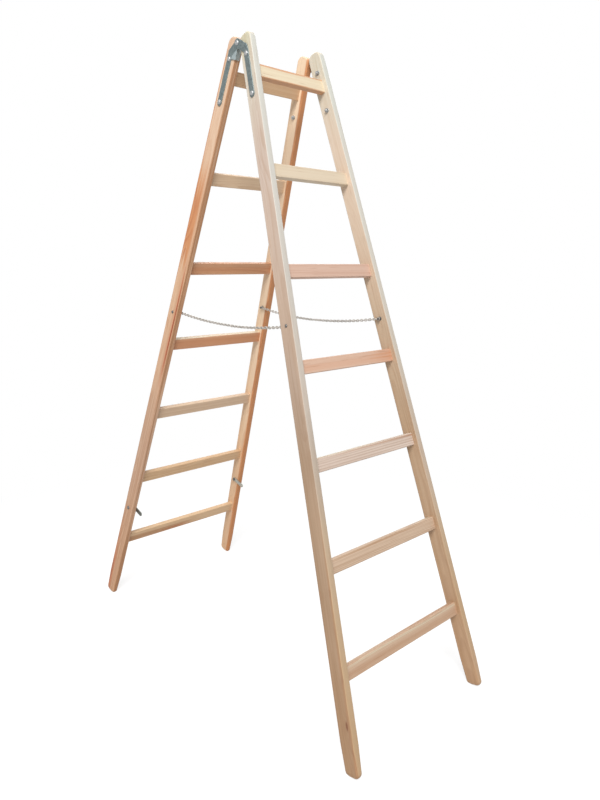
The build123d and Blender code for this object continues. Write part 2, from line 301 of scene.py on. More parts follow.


# planed pine: rings round a heart off the board's edge, drawn out along the board and wavering,
# pale early wood and a darker edge to every ring, fine fibres, short resin flecks, bands of other
# wood where the board has them and a few bands of painted shade and painted highlight, knots, a pale
# sheen painted on the narrow edges of some boards, and a tone that changes from one end to the other,
# on the stiles partly painted shade that darkens them toward the foot and pales them at the top
def pineWood(name, middle, axes, look):
    wood = Finish(bpy.data.materials.new(name))
    place = boardPlace(wood, middle, axes)
    split = wood.node("ShaderNodeSeparateXYZ")
    wood.feed(split, place)
    x, y, z = split.outputs
    seed = wood.vector("ADD", place, [look["seed"] * step for step in grain["seedStep"]])

    def drawnOut(kind):
        stretch, detail, rough = noises[kind]
        return wood.noise(wood.vector("MULTIPLY", seed, stretch), 1.0, detail, rough)

    sway = wood.math("SUBTRACT", drawnOut("sway"), 0.5)
    slide = wood.math("MULTIPLY_ADD", z, look["slant"], wood.math("MULTIPLY", sway, look["sway"]))
    fromHeart = [wood.math("SUBTRACT", side, heart) for side, heart in zip((x, y), look["heart"])]
    around = wood.node("ShaderNodeCombineXYZ")
    wood.feed(around, *(wood.math("ADD", side, slide) for side in fromHeart))
    reach = wood.vector("LENGTH", around.outputs[0])
    knotShade = 0.0
    for *spot, size in look["knots"]:
        off = wood.vector("MULTIPLY", wood.vector("SUBTRACT", place, spot), grain["knotLong"])
        off = wood.vector("LENGTH", off)
        swell = wood.step(off, *(size * s for s in grain["knotSwell"]), 1.0, 0.0)
        reach = wood.math("MULTIPLY_ADD", swell, size * grain["knotPush"], reach)
        core = wood.step(off, *(size * s for s in grain["knotCore"]), 1.0, 0.0)
        knotShade = wood.math("MAXIMUM", knotShade, core)
    rings = wood.math("MULTIPLY_ADD", drawnOut("ripple"), grain["ripple"],
                      wood.math("DIVIDE", reach, look["ring"]))
    turn = wood.math("FRACT", rings)
    fall = wood.step(turn, *grain["lateFall"], 1.0, 0.0)
    late = wood.math("MULTIPLY", wood.step(turn, *grain["lateRise"]), fall)
    vary = wood.step(drawnOut("vary"), *grain["varyFrom"], *grain["varyTo"])
    late = wood.math("MULTIPLY", late, vary)
    fibre = drawnOut("fibre")
    streak = drawnOut("streak")
    fleck = wood.step(drawnOut("fleck"), *grain["fleckFrom"])
    cloud = drawnOut("cloud")

    # tone from the foot end up: on the stiles the darker foot and paler top are partly the wood's own tone
    # and partly painted shade of the light falling off down the ladder
    lift = wood.math("MULTIPLY_ADD", wood.math("SUBTRACT", cloud, 0.5), grain["cloudLift"], z)
    low, early, dark = look["tones"][0]
    for high, lighter, darker in look["tones"][1:]:
        rise = wood.step(lift, low, high)
        low, early, dark = high, wood.mix(rise, early, lighter), wood.mix(rise, dark, darker)
    colour = wood.mix(wood.math("MULTIPLY", late, look["contrast"]), early, dark)
    colour = wood.mix(wood.step(streak, *grain["streakFrom"], 0.0, look["streak"]), colour, dark)
    colour = wood.mix(wood.step(cloud, *grain["cloudFrom"], 0.0, grain["cloudShare"]), colour, look["warm"])
    wander = wood.math("ADD", wood.math("SUBTRACT", streak, 0.5), sway)
    for band in look["bands"]:
        colour = addBand(wood, colour, band, place, z, wander, late)
    # painted sheen: the narrow edges are painted a pale grey, faint at the foot and strong at the top,
    # standing in for light caught on them
    if "edge" in look:
        rim = wood.step(wood.math("ABSOLUTE", x), *grain["edgeFrom"])
        rim = wood.math("MULTIPLY", rim, wood.step(z, *grain["edgeRun"], *look["edgeShare"]))
        edge = wood.mix(wood.math("MULTIPLY", streak, grain["edgeStreak"]), look["edge"], dark)
        colour = wood.mix(rim, colour, edge)
    fibreShade = wood.math("MULTIPLY", wood.step(fibre, *grain["fibreFrom"]), grain["fibreShare"])
    colour = wood.mix(fibreShade, colour, dark)
    colour = wood.mix(wood.math("MULTIPLY", fleck, grain["fleckShare"]), colour, look["fleck"])
    if look["knots"]:
        colour = wood.mix(wood.math("MULTIPLY", knotShade, grain["knotShare"]), colour, look["knot"])
    rough = wood.step(late, 0.0, 1.0, *grain["rough"])
    wood.feed(wood.shader, colour, rough, grain["specular"], keys=surfaceKeys)
    wood.bump(wood.math("ADD", wood.math("MULTIPLY", late, 0.5), wood.math("MULTIPLY", fibre, 0.5)),
              grain["reliefDeep"], grain["relief"])
    return wood.owner


# levels between which smears and the painted glint act, and what the crystals do to gloss and relief
coat = {
    "smearDetail": 4.0, "smearRough": 0.6, "smearFrom": (0.45, 0.75), "smearShare": 0.45,
    "glintFrom": (0.3, 0.6), "glintTo": (0.55, 1.0), "glossFrom": (0.4, 1.6), "glossSpread": 0.22,
    "crystalHigh": 0.3, "reliefDeep": 0.0002,
}


# zinc on steel sheet: crystals of the zinc as cells of slightly different grey, dull smears over
# them, and a painted highlight of bright metal where the mesh's point attribute marks it
def zincSheet(name, look):
    zinc = Finish(bpy.data.materials.new(name))
    coord = zinc.node("ShaderNodeTexCoord").outputs["Object"]
    cells = zinc.node("ShaderNodeTexVoronoi", feature="F1")
    zinc.feed(cells, coord, look["cells"], keys=("Vector", "Scale"))
    grey = zinc.node("ShaderNodeSeparateColor")
    zinc.feed(grey, cells.outputs["Color"])
    spangle = grey.outputs[0]
    smear = zinc.noise(coord, look["smear"], coat["smearDetail"], coat["smearRough"])
    colour = zinc.mix(spangle, look["dark"], look["light"])
    colour = zinc.mix(zinc.step(smear, *coat["smearFrom"], 0.0, coat["smearShare"]), colour, look["dull"])
    # painted highlight: bright metal laid over the colour where the mesh's attribute says so
    if "glint" in look:
        glint = zinc.node("ShaderNodeAttribute", attribute_name="glint").outputs["Fac"]
        glint = zinc.math("MULTIPLY", glint, zinc.step(smear, *coat["glintFrom"], *coat["glintTo"]))
        colour = zinc.mix(glint, colour, look["glint"])
    rough = zinc.step(zinc.math("ADD", spangle, smear), *coat["glossFrom"],
                      look["gloss"], look["gloss"] + coat["glossSpread"])
    zinc.feed(zinc.shader, colour, rough, look["metal"], keys=("Base Color", "Roughness", "Metallic"))
    relief = zinc.math("MULTIPLY_ADD", spangle, coat["crystalHigh"], smear)
    zinc.bump(relief, coat["reliefDeep"], look["bump"])
    return zinc.owner


# colours of the bands: mostly kinds of wood; some bands paint shade and highlights along edges, noted where
# they are used
orange = {"early": (209, 143, 96), "late": (184, 108, 67)}
amber = {"early": (205, 138, 89), "late": (174, 104, 58)}
brown = {"early": (178, 130, 92), "late": (150, 98, 64)}
straw = {"early": (203, 170, 120), "late": (178, 138, 92)}
cream = {"early": (222, 214, 190), "late": (203, 187, 158)}
russet = {"early": (196, 114, 74), "late": (164, 82, 48), "fade": 0.1}
deepRed = {"early": (166, 74, 38), "late": (128, 50, 24), "fade": 0.06}


# one band: its middle, half width and strength, its run along the board and the side it lies toward
def bandOf(kind, at, half, share, along=(-1.2, 1.2), toward=(1, 0), **other):
    settings = {"fade": 0.12, **kind, **other}
    return dict(settings, at=at, half=half, share=share, along=along, toward=toward)


# looks of each board; tones go from the foot end up, each with its early and its late wood; on the stiles
# their darkening toward the foot and paling at the top is partly the wood's own tone and partly painted
# shade and light
pale = {
    "warm": (222, 192, 164), "fleck": (150, 96, 60), "knot": (118, 64, 38),
    "contrast": 0.5, "streak": 0.4, "ring": 0.003, "slant": 0.008, "sway": 0.03, "knots": (), "bands": (),
}
# painted sheen on the narrow edges of the front stiles: a pale grey that stands in for light caught on
# them, strongest at the top
edgeSheen = {"edge": (204, 207, 201), "edgeShare": (0.12, 0.95)}
stileLooks = {
    "left_front_stile": dict(
        pale, **edgeSheen, seed=1.0, heart=(0.02, 0.07), knots=((0.011, -0.0105, -0.9, 0.0048),),
        tones=((-1.0, (178, 144, 111), (151, 108, 76)), (-0.35, (174, 146, 119), (149, 114, 85)),
               (0.1, (190, 167, 148), (165, 133, 109)), (0.6, (211, 192, 178), (186, 155, 131)),
               (0.93, (219, 211, 196), (197, 177, 152)), (1.03, (212, 208, 182), (194, 180, 146))),
        bands=(bandOf(brown, 0.021, 0.005, 0.5, (-1.2, -0.45)),
               bandOf(straw, 0.028, 0.006, 0.6, (-1.2, -0.3)))),
    "right_front_stile": dict(
        pale, **edgeSheen, seed=2.0, heart=(-0.01, -0.08),
        tones=((-1.0, (188, 150, 113), (158, 114, 78)), (-0.3, (192, 163, 132), (164, 126, 94)),
               (0.1, (204, 180, 153), (177, 143, 113)), (0.75, (229, 212, 194), (205, 178, 148)),
               (0.98, (221, 215, 198), (198, 184, 156))),
        bands=(bandOf(straw, 0.028, 0.006, 0.5, (-1.2, -0.4)),)),
    "left_rear_stile": dict(
        pale, contrast=0.7, streak=0.6, seed=3.0, heart=(0.01, -0.06), warm=(228, 186, 154),
        tones=((-1.0, (212, 170, 135), (184, 130, 93)), (-0.4, (207, 172, 145), (180, 134, 104)),
               (0.3, (226, 189, 156), (200, 151, 114)), (1.0, (228, 202, 176), (203, 158, 125))),
        bands=(bandOf(orange, 0.012, 0.034, 0.95, (0.35, 0.66), (1, 0.2), fade=0.05),
               bandOf(orange, 0.026, 0.008, 0.5, (0.66, 1.2)),
               bandOf(russet, 0.016, 0.008, 0.8, (-0.06, 0.3), (-1, 0)),
               bandOf(deepRed, 0.0185, 0.006, 1.0, (0.02, 0.24), (-1, 0)),
               # the brown band on the inner edge is partly darker wood and partly painted shade of that
               # edge, which faces down away from the light
               bandOf(brown, 0.029, 0.007, 0.85, toward=(-1, 0)),
               bandOf(russet, 0.022, 0.021, 0.75, (-1.2, -0.78)))),
    # its tones are lighter than the wood itself: painted light that makes up for the lamps reaching this
    # board less
    "right_rear_stile": dict(
        pale, seed=4.0, heart=(-0.02, 0.06), warm=(236, 206, 178),
        tones=((-1.0, (234, 190, 146), (208, 150, 104)), (0.2, (250, 224, 193), (234, 192, 154))),
        bands=(bandOf(amber, 0.027, 0.013, 0.95, toward=(-1, 0)),)),
}
rungTones = {
    "front_rung_1": ((206, 179, 153), (177, 136, 106)), "front_rung_2": ((213, 188, 164), (168, 133, 103)),
    "front_rung_3": ((219, 201, 187), (176, 148, 128)), "front_rung_4": ((218, 187, 166), (188, 138, 107)),
    "front_rung_5": ((211, 180, 162), (186, 142, 118)), "front_rung_6": ((218, 203, 180), (196, 172, 141)),
    "front_rung_7": ((227, 214, 187), (210, 188, 157)),
    "rear_rung_1": ((225, 194, 157), (196, 152, 111)), "rear_rung_2": ((218, 185, 147), (190, 146, 106)),
    "rear_rung_3": ((220, 194, 166), (193, 156, 124)), "rear_rung_4": ((217, 165, 129), (188, 123, 86)),
    "rear_rung_5": ((207, 161, 126), (179, 120, 85)), "rear_rung_6": ((222, 196, 166), (195, 157, 123)),
    "rear_rung_7": ((216, 185, 150), (190, 146, 109)),
}
rungBands = {
    # front rung 7: the amber band along its lower edge is painted shade under the rung
    "front_rung_7": (bandOf(orange, 0.022, 0.007, 0.75),
                     bandOf(amber, 0.0225, 0.005, 0.75, toward=(-1, 0))),
    "front_rung_4": (bandOf(orange, -0.004, 0.012, 0.2, toward=(1, 0.3)),
                     bandOf(orange, 0.0, 0.06, 0.5, (0.14, 1))),
    # the cream bands along the top edges of rungs 3 and 2 are a painted highlight of the light from above
    "front_rung_3": (bandOf(brown, 0.015, 0.0028, 0.55, (-0.08, 1)), bandOf(cream, 0.0255, 0.006, 0.75)),
    "front_rung_2": (bandOf(brown, 0.0145, 0.0028, 0.55, (-0.2, 0.16)), bandOf(cream, 0.0255, 0.005, 0.35)),
    "front_rung_1": (bandOf(brown, -0.01, 0.016, 0.3), bandOf(cream, 0.015, 0.004, 0.55, (-0.3, 1)),
                     bandOf(brown, 0.0255, 0.006, 0.55)),
    "rear_rung_1": (bandOf(brown, -0.007, 0.015, 0.75, (-0.03, 1)),
                    bandOf(russet, -0.008, 0.006, 0.7, (-0.01, 0.08), fade=0.03)),
    # rear rung 4: the cream band along its top edge is a painted highlight of the light from above
    "rear_rung_4": (bandOf(orange, 0.0, 0.016, 0.4), bandOf(cream, 0.0225, 0.005, 0.9)),
    "rear_rung_5": (bandOf(orange, -0.006, 0.016, 0.4),),
}
rungGrain = {
    "front_rung_4": {"heart": (0.16, 0.02), "sway": 0.006},
    "front_rung_3": {"contrast": 0.6, "streak": 0.5, "ring": 0.0045},
    "front_rung_2": {"contrast": 0.8, "streak": 0.6, "ring": 0.004},
}
rungCut = {"heartOff": 0.05, "swing": 0.7, "swingStep": 2.4, "seed": 10, "seedStep": 1.7, "sway": 0.022}
rungLooks = {}
for order, (name, (light, dark)) in enumerate(rungTones.items()):
    swing = rungCut["swing"] + rungCut["swingStep"] * order    # way round to the tree's heart
    rungLooks[name] = dict(
        pale, tones=((0, light, dark),), warm=light, bands=rungBands.get(name, ()),
        heart=(rungCut["heartOff"] * math.cos(swing), rungCut["heartOff"] * math.sin(swing)),
        seed=rungCut["seed"] + rungCut["seedStep"] * order, sway=rungCut["sway"])
    rungLooks[name].update(rungGrain.get(name, {}))

board = {
    "topRound": 0.02, "arris": 0.0025, "topArris": 0.004, "footArris": 0.0085, "rim": 0.0006,
    "arrisSteps": 7, "footSoft": (0.02, 0.09), "topSoft": (0.08, 0.02), "cutSteps": 400, "footSteps": 56,
    "topSteps": 18, "sideStart": 0.022, "sideNear": 0.1, "sideFar": 0.2, "nearSteps": 8, "farSteps": 16,
}


# a stile: its side outline is a rectangle with round corners, cut level by the floor, and is carried
# through the thickness; near both faces each outline point moves in along its normal by a quarter
# circle, wider round the foot and the top than along the sides
def stileBoard():
    half, long, foot, top = ladder["depth"] / 2, ladder["length"], ladder["footRound"], board["topRound"]
    swing = quarterTurn(board["cutSteps"])
    low = np.concatenate([
        np.stack([-half + foot - foot * np.cos(swing), foot - foot * np.sin(swing)], 1),
        np.stack([half - foot + foot * np.sin(swing), foot - foot * np.cos(swing)], 1)])
    low[:, 1] = np.maximum(low[:, 1], (-footLift - low[:, 0] * leanSin) / leanCos)
    run = lengthGone(low)
    even = np.linspace(0, run[-1], board["footSteps"])
    low = readOff(even, run, low)
    swing = quarterTurn(board["topSteps"])
    high = np.concatenate([
        np.stack([half - top + top * np.cos(swing), long - top + top * np.sin(swing)], 1),
        np.stack([-half + top - top * np.sin(swing), long - top + top * np.cos(swing)], 1)])
    start, near, far = board["sideStart"], board["sideNear"], board["sideFar"]
    side = np.concatenate([
        np.linspace(start, near, board["nearSteps"]), np.linspace(far, long - far, board["farSteps"]),
        np.linspace(long - near, long - start, board["nearSteps"])])
    upSide, downSide = np.stack([0 * side + half, side], 1), np.stack([0 * side - half, side[::-1]], 1)
    outline = np.concatenate([low, upSide, high, downSide])
    step = np.roll(outline, -1, 0) - np.roll(outline, 1, 0)
    normal = unit(np.stack([step[:, 1], -step[:, 0]], 1))
    normal = unit(np.roll(normal, 1, 0) + 2 * normal + np.roll(normal, -1, 0))
    soft = np.interp(outline[:, 1], [*board["footSoft"], *(long - below for below in board["topSoft"])],
                     [board["footArris"], board["arris"], board["arris"], board["topArris"]])
    turn = quarterTurn(board["arrisSteps"])[:, None]
    inset = np.concatenate([[soft + board["rim"]], soft * (1 - np.sin(turn))])
    deep = np.concatenate([[0 * soft], soft * (1 - np.cos(turn))])
    inset = np.concatenate([inset, inset[::-1]])
    deep = np.concatenate([deep, ladder["thick"] - deep[::-1]])
    off = outline[:, 0] - inset * normal[:, 0]
    ups = outline[:, 1] - inset * normal[:, 1]
    return outward(closedTube(framePoint(outerFace(ups) + deep / math.cos(taper), ups, off)))


stile = stileBoard()
for name, look in stileLooks.items():
    left, front = name.startswith("left"), "front" in name
    up = ladder["length"] / 2
    middle = framePoint((outerFace(up) - halfInside(up)) / 2, up, 0.0)
    flip = np.array([1 if left else -1, 1 if front else -1, 1])
    off, lengthwise = outOfFrame * flip, np.cross(offStile, outOfFrame) * flip
    axes = np.stack([off, np.cross(lengthwise, off), lengthwise], axis=1)
    addPiece(name + "_board", mirrored(stile, not left, not front),
             pineWood("pine_" + name, middle * flip, axes, look),
             "front_frame" if front else "rear_frame", [name])
for name, look in rungLooks.items():
    front, number = name.startswith("front"), int(name[-1]) - 1
    up = ladder["firstRung"] + ladder["rungPitch"] * number + ladder["rungShifts"][number]
    flip = np.array([1, 1 if front else -1, 1])
    high, off = alongUp * flip, outOfFrame * flip
    axes = np.stack([high, off, np.cross(high, off)], axis=1)
    nodes[name].data.materials.clear()
    nodes[name].data.materials.append(pineWood("pine_" + name, framePoint(0.0, up, 0.0) * flip, axes, look))
print("wood: 18 boards")

hingeZinc = zincSheet("hinge_zinc", {
    "cells": 190, "smear": 60, "dark": (102, 114, 115), "light": (129, 141, 141),
    "dull": (117, 123, 119), "glint": (180, 192, 194), "metal": 0.8, "gloss": 0.34, "bump": 0.15})
boltZinc = zincSheet("bolt_zinc", {
    "cells": 500, "smear": 200, "dark": (156, 158, 159), "light": (190, 192, 192),
    "dull": (136, 136, 136), "metal": 0.65, "gloss": 0.28, "bump": 0.1})
# darker copy of the bolt zinc for the chain and guide lug fasteners: painted shade for the dark
# surroundings they reflect
shadedBoltZinc = zincSheet("shaded_bolt_zinc", {
    "cells": 500, "smear": 240, "dark": (100, 97, 95), "light": (134, 131, 128),
    "dull": (84, 80, 78), "metal": 0.8, "gloss": 0.42, "bump": 0.15})
chainZinc = zincSheet("chain_zinc", {
    "cells": 400, "smear": 150, "dark": (170, 164, 157), "light": (210, 204, 196),
    "dull": (146, 140, 132), "metal": 0.6, "gloss": 0.4, "bump": 0.2})
# one zinc in a shaded and a lit copy: the left lug is painted darker as shade, the right lug lighter as
# light
shadedLug = {
    "cells": 230, "smear": 90, "dark": (102, 105, 100), "light": (130, 132, 126),
    "dull": (88, 90, 85), "metal": 0.8, "gloss": 0.4, "bump": 0.2}
litLug = dict(shadedLug, dark=(158, 157, 148), light=(190, 188, 177), dull=(136, 133, 122))
lugZinc = {"left": zincSheet("lug_zinc_shaded", shadedLug), "right": zincSheet("lug_zinc_lit", litLug)}

sheet = {"cornerSteps": 4, "mostCorner": 0.24}


# edge of a flat plate: how far in and how high its points lie, two quarter circles that take up no
# more than a share of the width
def plateEdge(width, thick, corner):
    soft = np.minimum(corner, width * sheet["mostCorner"])[:, None]
    turn = quarterTurn(sheet["cornerSteps"])[None, :]
    inward = np.concatenate([soft * (1 - np.sin(turn)), soft * (1 - np.cos(turn))], 1)
    height = np.concatenate([soft * (1 - np.cos(turn)), thick - soft * (1 - np.sin(turn))], 1)
    return inward, height


# a plate between two edge lines: every pair of edge points carries a thin rectangle with rounded
# corners, and lift gives how far the plate's back stands across the frame at each height
def plateAlong(edgeA, edgeB, thick, corner, lift):
    width = np.linalg.norm(edgeB - edgeA, axis=1)
    inward, height = plateEdge(width, thick, corner)
    inward = inward / width[:, None]
    share = np.concatenate([inward, 1 - inward[:, ::-1]], axis=1)
    height = np.concatenate([height, height[:, ::-1]], axis=1)
    flat = edgeA[:, None, :] + (edgeB - edgeA)[:, None, :] * share[:, :, None]
    up = ladder["length"] + flat[..., 1]
    return closedTube(framePoint(lift(up) - height, up, flat[..., 0]))


# painted highlight along the cut edges of a sheet: 1 on its side walls, fading to 0 round the corners onto
# the faces
def cutEdge(rows):
    turn = quarterTurn(sheet["cornerSteps"])
    corner = np.concatenate([np.sin(turn), np.cos(turn)])
    return np.tile(np.concatenate([corner, corner[::-1]]), rows)


hinge = {
    "plate": 0.0025, "gap": 0.0004, "strapWide": 0.02, "strapReach": 0.1905, "eyeWide": 0.024,
    "armSlope": math.radians(48), "bendBelow": 0.049, "stepLong": 0.016, "edge": 0.0007,
    "edgeSteps": 12, "blunt": 0.12, "edgeGlint": 0.5, "tongueGlint": 0.75,
    "flangeStart": 0.03, "flangeEnd": 0.06, "flangeWide": 0.015, "flangeSteps": 14, "flangeBend": 8,
    "tongueRoot": (-0.009, -0.018), "tongueSkin": 0.04, "tongueLip": 0.0006, "tongueEase": 0.3,
    "headWide": 0.015, "headHigh": 0.004, "tailWide": 0.012, "tailHigh": 0.0016, "tailEase": (0.46, 0.8),
    "tailMiddle": 0.2, "rivetWide": 0.008, "sideGap": 0.0003, "rivetSides": 40, "domeSteps": 9,
}
innerEye = outerFace(ladder["length"] - hinge["bendBelow"])
outerEye = innerEye - hinge["plate"] - hinge["gap"]


# a leaf as two edge lines, off the frame and up from the top of the stile: a half circle round the
# eye, a sloping arm, a straight strap and its half round end, both ends left a little blunt
def leafOutline():
    slope, steps, blunt = hinge["armSlope"], hinge["edgeSteps"], hinge["blunt"]
    along = np.array([math.cos(slope), -math.sin(slope)])
    side = np.array([math.sin(slope), math.cos(slope)])
    eye = np.array([-ladder["pivotInset"], -ladder["pivotDrop"]])
    r, tip = hinge["eyeWide"] / 2, hinge["strapWide"] / 2
    foot = np.array([0, -hinge["strapReach"] + tip])
    first = np.linspace(blunt, np.pi / 2, steps)[:, None]
    last = np.linspace(0, np.pi / 2 - blunt, steps)[1:, None]
    share = np.linspace(0, 1, steps)[1:, None]
    edges = []
    for way in (1, -1):
        start = eye - along * r * np.cos(first) + way * side * r * np.sin(first)
        bend = start[-1] + along * (way * tip - start[-1, 0]) / along[0]
        arm = start[-1] + (bend - start[-1]) * share
        strap = bend + (foot + np.array([way * tip, 0]) - bend) * share
        end = foot + np.concatenate([way * tip * np.cos(last), -tip * np.sin(last)], 1)
        edges.append(np.concatenate([start, arm, strap, end]))
    return edges


# back of a leaf: on the tapered face below the bend, square to the pivot above it
def leafLift(eye):
    bend = ladder["length"] - hinge["bendBelow"]
    stations = np.array([0, bend, bend + hinge["stepLong"], 2 * ladder["length"]])
    level = np.array([outerFace(0), outerFace(bend), eye, eye])
    return lambda heights: np.interp(heights, stations, level)


# tongue of the inner leaf: a strip from the leaf's face, turned round the edge of the stile and
# carried across it; its section is a path with a rounded corner, a hair thinner than the leaf it
# grows from
def flangeTongue():
    t, half, wide = hinge["plate"], ladder["depth"] / 2, hinge["flangeWide"]
    below = np.linspace(hinge["flangeEnd"], hinge["flangeStart"], hinge["flangeSteps"])
    turn = quarterTurn(hinge["flangeBend"])
    face, back = (1 - hinge["tongueSkin"]) * t, hinge["tongueSkin"] * t
    lip, ease = wide - hinge["tongueLip"], hinge["tongueEase"] * t
    outOff = np.concatenate([hinge["tongueRoot"], -half - t * np.sin(turn), [-half - t, -half - t + ease]])
    outAcross = np.concatenate([[-face, -face], -face * np.cos(turn), [lip, wide]])
    inOff = np.array([*hinge["tongueRoot"], -half, -half, -half - ease])
    inAcross = np.array([-back, -back, -back, lip, wide])
    off = np.concatenate([outOff, inOff[::-1]])
    across = np.concatenate([outAcross, inAcross[::-1]])
    ups = ladder["length"] - below[:, None] + 0 * off[None, :]
    return closedTube(framePoint(leafLift(innerEye)(ups) + across[None, :], ups, off[None, :]))


# both hinges are the same pair of leaves, turned half round for the other side of the ladder
edgeA, edgeB = leafOutline()
plainLeaf, innerLeaf = (
    outward(plateAlong(edgeA, edgeB, hinge["plate"], hinge["edge"], leafLift(eye)))
    for eye in (outerEye, innerEye))
tongue = outward(flangeTongue())
flangedLeaf = joinShells([innerLeaf, tongue])
# painted highlight on the leaves' cut edges, and a painted reflection that lightens the whole flange tongue
# where it lies in shade
plainGlint = hinge["edgeGlint"] * cutEdge(len(edgeA))
flangedGlint = np.concatenate([plainGlint, np.full(len(tongue["points"]), hinge["tongueGlint"])])
for side, end in (("left", "front"), ("left", "rear"), ("right", "front"), ("right", "rear")):
    over, back = side == "right", end == "rear"
    leaf, glint = (flangedLeaf, flangedGlint) if over != back else (plainLeaf, plainGlint)
    addPiece(f"{side}_{end}_hinge", mirrored(leaf, over, back), hingeZinc, end + "_frame",
             [f"{side}_{end}_hinge_leaf"], glint=glint)

domeEnd = 0.985    # share of a quarter turn at which a dome stops, just short of its crown


# radii and heights of a domed head: a quarter ellipse over its seat
def dome(wide, high, seat, steps):
    arc = np.linspace(0, 1, steps)
    return wide / 2 * np.cos(arc * np.pi / 2 * domeEnd), seat + high * np.sin(arc * np.pi / 2)


# rivet on Z, turned: flat tail with an eased edge, shank, domed head
def hingeRivet():
    seat, tail = -outerEye + hinge["plate"], -innerEye - hinge["sideGap"]
    wide, high, shank = hinge["tailWide"], hinge["tailHigh"], hinge["rivetWide"] / 2
    easeIn, easeUp = hinge["tailEase"]
    headR, headH = dome(hinge["headWide"], hinge["headHigh"], seat, hinge["domeSteps"])
    tailR = [hinge["tailMiddle"] * wide, easeIn * wide, 0.5 * wide, 0.5 * wide, shank, shank]
    tailH = [tail - high, tail - high, tail - easeUp * high, tail, tail, seat]
    radii, heights = np.concatenate([tailR, headR]), np.concatenate([tailH, headH])
    return outward(turned(radii, heights, hinge["rivetSides"]))


rivet = placed(hingeRivet(), (0, 0, pivotHeight), np.array([[0, 0, -1], [1, 0, 0], [0, -1, 0]]))
addPiece("hinge_rivets", joinShells([rivet, mirrored(rivet, True)]), boltZinc, "front_frame",
         ["hinge_pivots"])
print("hinges: 4 leaves, 2 rivets")

# two sizes of bolt, heads and nuts by width and height; below is measured down from the top of the stile
bigBolt = {"wide": 0.006, "head": (0.014, 0.004), "nut": (0.01, 0.005), "washer": 0.014, "thread": 0.009}
smallBolt = {
    "wide": 0.004, "head": (0.01, 0.0035), "nut": (0.007, 0.0032), "washer": 0.012, "thread": 0.0147,
}
fastener = {
    "hingeBelow": (0.061, 0.18), "chainBelow": 0.852, "lugBelow": 1.658, "washer": 0.0012, "end": 0.002,
    "play": 0.0012, "wire": 0.002, "threadPitch": 0.0009, "threadDeep": 0.0004, "pointLong": 0.0006,
    "pointIn": 0.0005, "nutPlay": 0.0001, "washerPlay": 0.0002, "washerEase": 0.0002, "nutRound": 0.96,
    "nutCone": 0.55, "domeSteps": 8, "headSides": 32, "threadSides": 24, "threadRings": 5, "nutSides": 48,
    "washerSides": 36,
}
lug = {
    "wide": 0.016, "thick": 0.003, "reach": 0.06, "edge": 0.0006, "blunt": 0.1, "endSteps": 10,
    "runSteps": 12,
}


# domed bolt on Z: head as a quarter ellipse, plain shank, then a thread whose radius drops by a
# triangle wave of height over pitch less the turn, so that it winds round
def domedBolt(size, seat, reach):
    wide, threadLong = size["wide"], size["thread"]
    headR, headH = dome(*size["head"], seat, fastener["domeSteps"])
    shankEnd = -reach + threadLong
    low = turned(np.concatenate([[wide / 2, wide / 2], headR]), np.concatenate([[shankEnd, seat], headH]),
                 fastener["headSides"])
    turns = int(round(threadLong / fastener["threadPitch"]))
    angle = fullTurn(fastener["threadSides"])
    down = np.linspace(0, threadLong, 1 + fastener["threadRings"] * turns)[:, None]
    wave = np.abs(2 * np.mod(down / fastener["threadPitch"] - angle / (2 * np.pi), 1) - 1)
    fade = np.clip((threadLong - down) / fastener["pointLong"], 0.0, 1.0)
    r = wide / 2 - fastener["threadDeep"] * wave - fastener["pointIn"] * (1 - fade)
    thread = closedTube(polar(r, angle, shankEnd - down))
    return joinShells([outward(low), outward(thread)])


# hexagon nut: radius of a hexagon at every angle, its corners cut back by a cone at both ends
def hexagonNut(size, top):
    wide, high = size["nut"]
    angle = fullTurn(fastener["nutSides"])
    flat = wide / 2 / np.cos(np.mod(angle, np.pi / 3) - np.pi / 6)
    rim = np.full(len(angle), wide / 2 * fastener["nutRound"])
    inner = np.full(len(angle), (size["wide"] + fastener["nutPlay"]) / 2)
    cut = (flat - rim) * fastener["nutCone"]
    r = np.stack([inner, rim, flat, flat, rim, inner])
    h = np.stack([0 * cut, 0 * cut, -cut, -high + cut, 0 * cut - high, 0 * cut - high]) + top
    return outward(shell(polar(r, angle, h), ringFaces(len(r), len(angle), True)))


# flat washer on the inner face: a rectangle with eased corners turned round the bolt
def flatWasher(size):
    ease, edge, high = fastener["washerEase"], size["washer"] / 2, fastener["washer"]
    bore = (size["wide"] + fastener["washerPlay"]) / 2
    r = np.array([bore, edge - ease, edge, edge, edge - ease, bore])[:, None]
    h = -ladder["thick"] - np.array([0, 0, ease, high - ease, high, high])[:, None]
    angle = fullTurn(fastener["washerSides"])
    return outward(shell(polar(r, angle, h), ringFaces(len(r), len(angle), True)))


# the same fasteners on the left and right stiles, on the front frame or the rear one
def bothSides(parts, places, back):
    left = [placed(part, *stileSeat(below)) for below in places for part in parts]
    return joinShells([mirrored(part, over, back) for part in left for over in (False, True)])


